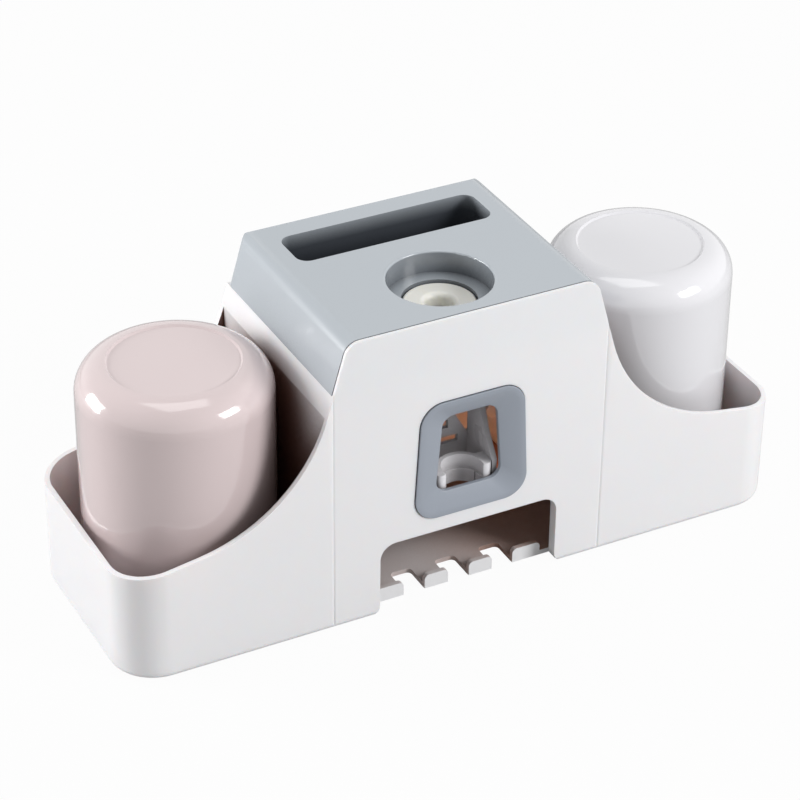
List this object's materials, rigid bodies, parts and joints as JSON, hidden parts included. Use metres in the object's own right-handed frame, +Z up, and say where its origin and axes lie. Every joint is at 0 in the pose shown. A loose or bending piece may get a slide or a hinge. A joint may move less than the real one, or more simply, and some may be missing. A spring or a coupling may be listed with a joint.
{
  "type": "toothpaste dispenser with brush rack and tumblers",
  "caption": "Wall unit that dispenses toothpaste onto a brush pushed into its window, with slots that hold brushes and side trays that carry upturned tumblers.",
  "frame": {"origin": "under the middle of the unit, at the level of its underside", "axes": "+X along the wall, -Y out of the front, +Y into the wall, +Z up"},
  "size_m": [0.284, 0.0938, 0.125],
  "materials": {
    "white_plastic": "satin white moulding",
    "grey_plastic": "semi-gloss cool grey moulding",
    "dark_grey_plastic": "satin mid grey moulding",
    "clear_grey_plastic": "natural plastic",
    "lever_plastic": "satin light grey moulding",
    "pink_plastic": "glossy pale pink",
    "silicone": "translucent white silicone",
    "black_rubber": "matte",
    "steel": "plain steel"
  },
  "bodies": {
    "base": {"housing": "white_plastic", "back_cover": "white_plastic", "back_screws": "steel", "window_bezel": "dark_grey_plastic", "brush_rack": "white_plastic", "rack_screws": "steel", "pump_frame": "white_plastic", "frame_screws": "steel", "pump_body": "clear_grey_plastic", "pump_screws": "steel", "cylinder_cap": "clear_grey_plastic", "inlet_seal": "silicone", "inlet_valve": "silicone", "outlet_nozzle": "silicone", "return_spring": "steel", "lever_pin": "steel", "pin_clip": "steel"},
    "cover": {"top_cover": "grey_plastic"},
    "lever": {"push_lever": "lever_plastic"},
    "piston": {"piston": "white_plastic", "piston_ring": "black_rubber"},
    "left_tumbler": {"pink_tumbler": "pink_plastic"},
    "right_tumbler": {"white_tumbler": "white_plastic"}
  },
  "joints": [
    {"name": "lever_hinge", "type": "hinge", "parent": "base", "child": "lever", "pos_m": [0, -0.025, 0.084], "axis": [1, 0, 0], "range_deg": [0, 15], "stiffness_Nm_per_rad": 0.3, "springref_deg": -8.59},
    {"name": "piston_slide", "type": "slide", "parent": "base", "child": "piston", "axis": [0, 0, 1], "range_m": [0, 0.00657], "deforming": ["return_spring"]},
    {"name": "cover_lift", "type": "slide", "parent": "base", "child": "cover", "axis": [0, 0, 1], "range_m": [0, 0.075]},
    {"name": "left_tumbler_lift", "type": "slide", "parent": "base", "child": "left_tumbler", "axis": [0, 0, 1], "range_m": [0, 0.12]},
    {"name": "right_tumbler_lift", "type": "slide", "parent": "base", "child": "right_tumbler", "axis": [0, 0, 1], "range_m": [0, 0.12]}
  ],
  "couplings": [
    {"joint": "lever_hinge", "follows": "piston_slide", "rad_per_m": 39.84}
  ]
}
